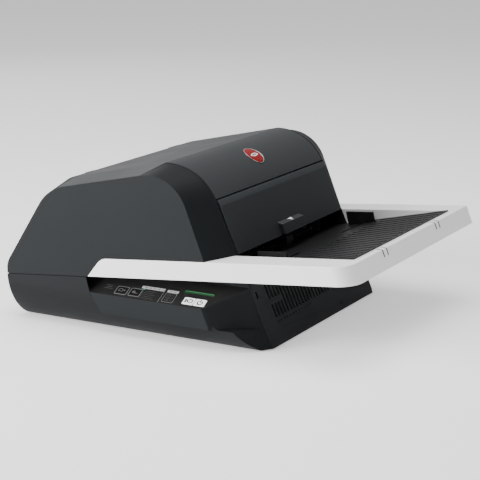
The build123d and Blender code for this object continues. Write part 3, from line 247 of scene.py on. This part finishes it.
def refine(node, width, finish=None, accent_and_highlight=None, chosen=None):
    """The CAD cover with its edges rounded by width mm, or left sharp if width is 0.

    Faces picked by chosen, from their normal and their middle in mm, get the second finish: a real second
    tone on the console, a painted highlight on the flap.
    """
    source = NODES[node]
    work = bmesh.new()
    work.from_mesh(source.data)
    if width:
        bmesh.ops.remove_doubles(work, verts=work.verts, dist=2e-6)
        bmesh.ops.dissolve_limit(
            work, angle_limit=radians(0.4), verts=work.verts, edges=work.edges, delimit={"NORMAL"}
        )
    for face in work.faces:
        face.material_index = 1 if chosen and chosen(face.normal, face.calc_center_median() / MM) else 0
    data = bpy.data.meshes.new(node + "_moulded")
    work.to_mesh(data)
    work.free()
    data.materials.append(finish or FINISH[SLOT_OF[node]])
    if accent_and_highlight:
        data.materials.append(accent_and_highlight)
    data.shade_smooth()
    obj = link(bpy.data.objects.new(node + "_moulded", data))
    if width:
        edge = obj.modifiers.new("edge", "BEVEL")
        edge.width = width * MM
        edge.segments = 2
        edge.limit_method = "ANGLE"
        edge.angle_limit = radians(24)
        edge.miter_outer = "MITER_ARC"
        edge.harden_normals = False
        flow = obj.modifiers.new("flow", "WEIGHTED_NORMAL")
        flow.keep_sharp = True
        flow.weight = 80
    else:
        data.set_sharp_from_angle(angle=radians(20))
    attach(obj, source["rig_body"])
    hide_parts(node)
    return obj


# ---------------------------------------------------------------- moulded covers
for node, width in {
    "base_housing": 0.4,
    "near_side_housing": 0.8,
    "far_side_housing": 0.8,
    "hood": 0.6,
    "rear_panel": 0.6,
    "rear_door": 0.6,
    "door_latch": 0.5,
    "feed_tray": 0.5,
}.items():
    refine(node, width)
# painted highlight: the flap's upward-facing ledge faces get a lighter charcoal, standing in for light
# from above on that strip
refine(
    "feed_flap",
    0.5,
    finish=FLAP_PAINTED_LIGHT_GREY,
    accent_and_highlight=FLAP_PAINTED_HIGHLIGHT,
    chosen=lambda normal, at: normal.z > 0.6 and at.z > 150,
)
refine(
    "control_panel",
    0,
    accent_and_highlight=FINISH["charcoal_housing"],
    chosen=lambda normal, at: normal.y < -0.9 or normal.x > 0.4,
)

# painted shade: a near-black sheet behind the grille's slots, standing in for the shadow inside the
# housing
FRONT_X, FRONT_LEAN = 145.0, 0.4507  # front plane: x = FRONT_X - FRONT_LEAN * z
SHADE_SHEET_Y = (-140.0, 56.0)
SHADE_SHEET_Z = (26.0, 88.0)
SHADE_SHEET_BEHIND = (3.3, 4.3)  # its two faces, measured back from the front plane
shade_sheet = bmesh.new()
shade_sheet_outline = [
    (FRONT_X - FRONT_LEAN * SHADE_SHEET_Z[level] - SHADE_SHEET_BEHIND[side], SHADE_SHEET_Z[level])
    for level, side in ((0, 0), (1, 0), (1, 1), (0, 1))
]
side_prism(shade_sheet, shade_sheet_outline, *SHADE_SHEET_Y)
mesh_piece("grille_slot_painted_shade", shade_sheet, GRILLE_PAINTED_SHADE, "root")

# painted shade: dark inserts in the clip slits of the tray's outer rim, standing in for the shadow inside
# the slits
SLIT_Y = (-108.7, -95.3, 86.8, 100.2)
SLIT_HALF = 1.5
SLIT_OUTLINE = [
    (275.2, 142.1),
    (287.6, 142.1),
    (284.4, 150.5),
    (283.35, 152.1),
    (281.9, 152.48),
    (275.2, 151.87),
]
slit_painted_shade = bmesh.new()
for middle in SLIT_Y:
    side_prism(slit_painted_shade, SLIT_OUTLINE, middle - SLIT_HALF, middle + SLIT_HALF)
mesh_piece("tray_slit_painted_shade", slit_painted_shade, PRINT_DARK, "root")


# ---------------------------------------------------------------- console graphics
FASCIA_EDGE = Vector((0, -225.6, 61.0))  # front edge of the sloping fascia
FASCIA_RISE = atan2(27.0, 48.6)
FASCIA = Matrix.Translation(FASCIA_EDGE * MM) @ Matrix.Rotation(FASCIA_RISE, 4, "X")


def flat_shape(work, outlines, top, depth, matrix):
    """Raised flat shapes from (outer, inner) outlines in mm. inner is None for a shape with no hole."""

    def loops(outline):
        return [
            ring(work, outline, lambda x, y, z=z: matrix @ (Vector((x, y, z)) * MM))
            for z in (top, top - depth)
        ]

    for outer, inner in outlines:
        high, low = loops(outer)
        walls(work, low, high)
        if inner is None:
            work.faces.new(high)
            continue
        high_in, low_in = loops(inner)
        walls(work, high, high_in)
        walls(work, high_in, low_in)


def rounded(x0, x1, y0, y1, radius, steps=5):
    """Rounded rectangle outline."""
    points = []
    for cx, cy, turn in (
        (x1 - radius, y0 + radius, -90),
        (x1 - radius, y1 - radius, 0),
        (x0 + radius, y1 - radius, 90),
        (x0 + radius, y0 + radius, 180),
    ):
        for i in range(steps + 1):
            angle = radians(turn + 90 * i / steps)
            points.append((cx + radius * cos(angle), cy + radius * sin(angle)))
    return points


def arc_band(cx, cy, radius, wide, start, end, steps=24):
    """Closed outline of an arc with a width, angles in degrees."""
    outer = []
    inner = []
    for i in range(steps + 1):
        angle = radians(start + (end - start) * i / steps)
        outer.append((cx + (radius + wide / 2) * cos(angle), cy + (radius + wide / 2) * sin(angle)))
        inner.append((cx + (radius - wide / 2) * cos(angle), cy + (radius - wide / 2) * sin(angle)))
    return outer + inner[::-1]


def bar(x0, y0, x1, y1, wide):
    """Closed outline of a straight stroke."""
    along = Vector((x1 - x0, y1 - y0)).normalized()
    across = Vector((-along.y, along.x)) * wide / 2
    return [
        (x0 - across.x, y0 - across.y),
        (x1 - across.x, y1 - across.y),
        (x1 + across.x, y1 + across.y),
        (x0 + across.x, y0 + across.y),
    ]


def border(x0, x1, y0, y1, radius, wide):
    """Outer and inner outline of a rounded frame."""
    return rounded(x0, x1, y0, y1, radius), rounded(
        x0 + wide, x1 - wide, y0 + wide, y1 - wide, max(0.2, radius - wide)
    )


def printed(name, outlines, finish, top=0.08, body="root", depth=0.3):
    """Print or inlay on the fascia, its top face this high above it."""
    work = bmesh.new()
    flat_shape(work, outlines, top, depth, FASCIA)
    return mesh_piece(name, work, finish, body)


# centre along X, centre up the slope, width, depth
KEYS = {
    "laminate_key": (-90.5, 13.5, 18.0, 14.0),
    "film_key": (-67.0, 13.5, 17.0, 14.0),
    "reverse_key": (26.0, 12.4, 18.0, 13.6),
    "power_key": (45.0, 12.4, 18.0, 13.6),
}
BLACK_KEYS = ("laminate_key", "film_key")
READY_LIGHT = (-56, 22.2)
LIST_TOP = 19.6  # first row of the captions beside the ready light
BOX_TOP = 18.0  # first row in the small frame


def solid(*shapes):
    """Outlines with no hole, as flat_shape wants them."""
    return [(shape, None) for shape in shapes]


def key_box(key, grow):
    """Limits of a key's top, grown by this much all round."""
    x, up, wide, deep = KEYS[key]
    return x - wide / 2 - grow, x + wide / 2 + grow, up - deep / 2 - grow, up + deep / 2 + grow


def icon(name, key, outlines, finish, top):
    """Symbol on a key, its outlines drawn about the key's centre."""
    x, up = KEYS[key][:2]

    def moved(outline):
        return outline and [(px + x, py + up) for px, py in outline]

    return printed(name, [(moved(outer), moved(inner)) for outer, inner in outlines], finish, top, key)


frames = [border(*key_box(key, 1.3), 2.4, 0.7) for key in BLACK_KEYS]
frames.append(border(-17.5, 1.5, 3.5, 23.0, 2.2, 0.5))
frames += solid(rounded(-22.2, -21.7, 0.5, 23.0, 0.2))
printed("console_outlines", frames, PRINT_GREY)
headers = solid(rounded(-61.5, -21.9, 24.0, 29.4, 0.8), rounded(-17.1, 1.7, 23.8, 28.4, 0.8))
printed("console_headers", headers, PRINT_LIGHT)

legends = []
for i, (x0, x1) in enumerate(((-122, -108), (-119, -110), (-122, -111))):
    level = 14.2 + 3.4 * i
    legends += solid(bar(x0, level, x1, level, 0.7))
for i in range(5):
    level = LIST_TOP - 3.6 * i
    legends += solid(bar(-52.5, level, -32.5 - 4 * (i % 2), level, 0.45))
    if i:
        legends += solid(arc_band(-55.2, level, 0.9, 0.35, 0, 360, 12))
for i in range(3):
    level = BOX_TOP - 5 * i
    legends.append(border(-13.5, -7.5, level - 1.4, level + 1.4, 0.4, 0.4))
    legends += solid(bar(-5.5, level, -1.5, level, 0.45))
printed("console_legends", legends, PRINT_FAINT, top=0.06)
dashes = [(-56.5 + 7.4 * i, 26.7) for i in range(5)] + [(-13.5, 26.1), (-6.5, 26.1)]
header_marks = solid(*[bar(x, level, x + 4.6, level, 1.0) for x, level in dashes])
printed("console_header_marks", header_marks, PRINT_DARK, top=0.14)

power = solid(arc_band(0, -0.4, 3.9, 1.8, 130, 410), bar(0, 0, 0, 5.6, 1.8))
icon("power_icon", "power_key", power, PRINT_DARK, 0.68)
reverse = solid(
    arc_band(2.7, 0, 3.3, 1.6, -130, 130),
    bar(0.5, 2.9, -5.3, -3.0, 1.6),
    bar(0.5, -2.9, -5.3, 3.0, 1.6),
    bar(-5.7, -3.5, -5.7, 3.5, 1.6),
)
icon("reverse_icon", "reverse_key", reverse, PRINT_DARK, 0.68)
for key in BLACK_KEYS:
    printed(key + "_face", solid(rounded(*key_box(key, -0.6), 1.0)), GLOSS_BLACK, top=0.66, body=key)
sheet = [border(-5.0, 1.5, -2.5, 3.0, 0.6, 0.45)]
sheet += solid(bar(2.5, 0.3, 5.7, 0.3, 0.5), bar(5.7, 0.3, 4.3, 1.5, 0.5), bar(5.7, 0.3, 4.3, -0.9, 0.5))
icon("laminate_icon", "laminate_key", sheet, PRINT_GREY, 0.72)
film = solid(
    arc_band(-2.5, 0.3, 2.2, 0.5, 0, 360),
    arc_band(-2.5, 0.3, 0.7, 0.4, 0, 360, 12),
    bar(-2.5, -1.9, 5.0, -1.9, 0.5),
)
icon("film_icon", "film_key", film, PRINT_GREY, 0.72)
lamp_face = solid(arc_band(*READY_LIGHT, 0.5, 0.9, 0, 360, 20))
printed("lamp_face", lamp_face, LAMP_GREEN, top=0.3, depth=0.2)
# painted highlight along the green lens's top edge
printed("green_lens_painted_highlight", solid(rounded(10.7, 59.3, 31.7, 32.4, 0.3)), LENS_PAINTED_HIGHLIGHT, top=0.27, depth=0.15)

# ---------------------------------------------------------------- badge
CURVE = Vector((-29.0, 0, 172.0))  # axis of the hood's front curve
CURVE_R = 88.0
BADGE_AT = radians(58.7)  # how far round the curve the badge sits


def on_curve(across, up, proud):
    """Point on the hood's curve: across in Y, up round the curve from the badge's centre, mm."""
    angle = BADGE_AT + up / CURVE_R
    reach = CURVE_R + proud
    return Vector((CURVE.x + reach * cos(angle), across, CURVE.z + reach * sin(angle))) * MM


def curved_disc(name, rings, finish, count=72):
    """Rings of (radius, height) from the middle out, wrapped on the hood's curve."""
    work = bmesh.new()
    circle = [(cos(2 * pi * i / count), sin(2 * pi * i / count)) for i in range(count)]
    middle = previous = None
    for radius, proud in rings:
        if radius == 0:
            middle = work.verts.new(on_curve(0, 0, proud))
            continue
        loop = ring(work, circle, lambda x, y: on_curve(radius * x, radius * y, proud))
        if previous:
            walls(work, previous, loop)
        elif middle:
            for near, far in zip(loop, loop[1:] + loop[:1]):
                work.faces.new((middle, near, far))
        previous = loop
    return mesh_piece(name, work, finish, "hood", 50)


FACE_RINGS = [(0, 1.0), (6, 0.98), (12, 0.86), (16.6, 0.62), (16.9, 0.3)]
RIM_RINGS = [(17.0, 0.5), (17.2, 0.85), (17.6, 0.95), (17.9, 0.9), (18.1, 0.5)]
SHADOW_RINGS = [(18.0, 0.45), (18.3, 0.4), (18.75, 0.3), (18.8, 0.02)]
badge_face = curved_disc("badge_face", FACE_RINGS, FINISH["red_badge"])
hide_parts("badge")
curved_disc("badge_rim", RIM_RINGS, RIM_SILVER)
curved_disc("badge_shadow_ring", SHADOW_RINGS, PRINT_DARK)
LOZENGE = [
    (-11.5, 0),
    (-6.5, -2.6),
    (0, -3.3),
    (6.5, -2.6),
    (11.5, 0),
    (6.5, 2.6),
    (0, 3.3),
    (-6.5, 2.6),
]
mark = bmesh.new()
top = ring(mark, LOZENGE, lambda x, y: on_curve(x, y, 1.06 - 0.14 * (x * x + y * y) / 144))
under = ring(mark, LOZENGE, lambda x, y: on_curve(x, y, 0.7))
mark.faces.new(top)
walls(mark, under, top)
mesh_piece("badge_mark", mark, PRINT_WHITE, "hood")

# ---------------------------------------------------------------- flap arrow
LEDGE_X, LEDGE_Z = 77.5, 154.72  # a point on the flap's finger ledge
LEDGE_FALL = 1.8 / 8.9
ARROW = [(78.6, -7.0), (78.6, 6.0), (86.0, -0.5)]
ARROW_THICK = 0.3


def on_ledge(x, y, sunk=0.0):
    """Point on the ledge's sloping top, or this far below it."""
    return Vector((x, y, LEDGE_Z - (x - LEDGE_X) * LEDGE_FALL - sunk)) * MM


arrow = bmesh.new()
corners = ring(arrow, ARROW, on_ledge)
under = ring(arrow, ARROW, lambda x, y: on_ledge(x, y, ARROW_THICK))
arrow.faces.new(corners)
walls(arrow, under, corners)
mesh_piece("flap_arrow", arrow, PRINT_WHITE, "feed_flap")

# ---------------------------------------------------------------- studio
scene = bpy.context.scene
FLOOR_REACH = 40.0  # metres each way
paper = material(
    "studio_paper", (0.93, 0.93, 0.93), 0.8, tint=0.004, Emission_Color=WHITE, Emission_Strength=0.35
)
floor = bmesh.new()
floor_corners = [(-FLOOR_REACH, -FLOOR_REACH), (FLOOR_REACH, -FLOOR_REACH)]
floor_corners += [(FLOOR_REACH, FLOOR_REACH), (-FLOOR_REACH, FLOOR_REACH)]
floor.faces.new(ring(floor, floor_corners, lambda x, y: (x, y, 0)))
data = bpy.data.meshes.new("studio_floor")
floor.to_mesh(data)
floor.free()
data.materials.append(paper)
ground = link(bpy.data.objects.new("studio_floor", data))


def softbox(name, place, target, size, power):
    """Area light in metres and watts, turned towards a target."""
    data = bpy.data.lights.new(name, "AREA")
    data.shape = "RECTANGLE"
    data.size, data.size_y = size
    data.energy = power
    lamp = link(bpy.data.objects.new(name, data))
    lamp.location = place
    lamp.rotation_euler = (Vector(target) - Vector(place)).to_track_quat("-Z", "Y").to_euler()


softbox("top_light", (0.1, -0.2, 2.3), (0, 0, 0.1), (2.0, 2.0), 60)
softbox("side_light", (-2.1, -2.2, 1.0), (0, 0, 0.15), (2.2, 1.6), 195)
softbox("end_light", (2.6, -0.4, 1.2), (0.1, 0, 0.15), (1.2, 1.2), 3)
softbox("rear_light", (-2.2, 1.8, 1.4), (0, 0, 0.15), (1.5, 1.5), 8)

# pale surroundings that fade towards the tray's end
DARK_SIDE = (0.95, 0.0, -0.3)
world = bpy.data.worlds.new("studio")
world.use_nodes = True
sky = world.node_tree
backdrop = sky.nodes["Background"]
backdrop.inputs["Color"].default_value = WHITE
around = sky.nodes.new("ShaderNodeTexCoord")
toward = sky.nodes.new("ShaderNodeVectorMath")
toward.operation = "DOT_PRODUCT"
toward.inputs[1].default_value = DARK_SIDE
fade = sky.nodes.new("ShaderNodeMapRange")
fade.inputs["From Min"].default_value = -0.4
fade.inputs["From Max"].default_value = 0.7
fade.inputs["To Min"].default_value = 0.55
fade.inputs["To Max"].default_value = 0.1
sky.links.new(around.outputs["Generated"], toward.inputs[0])
sky.links.new(toward.outputs["Value"], fade.inputs["Value"])
sky.links.new(fade.outputs["Result"], backdrop.inputs["Strength"])
scene.world = world

CAMERA_AT = Vector((1155.2, -2095.8, 693.2))
CAMERA_LENS = 117.55
AZ, EL = radians(29.033), radians(13.699)  # where the camera stands, round from -Y and up
camera_data = bpy.data.cameras.new("camera")
camera_data.lens = CAMERA_LENS
camera_data.sensor_width = 36
camera = link(bpy.data.objects.new("camera", camera_data))
camera.location = CAMERA_AT * MM
forward = Vector((-sin(AZ) * cos(EL), cos(AZ) * cos(EL), -sin(EL)))
camera.rotation_euler = forward.to_track_quat("-Z", "Y").to_euler()
scene.camera = camera
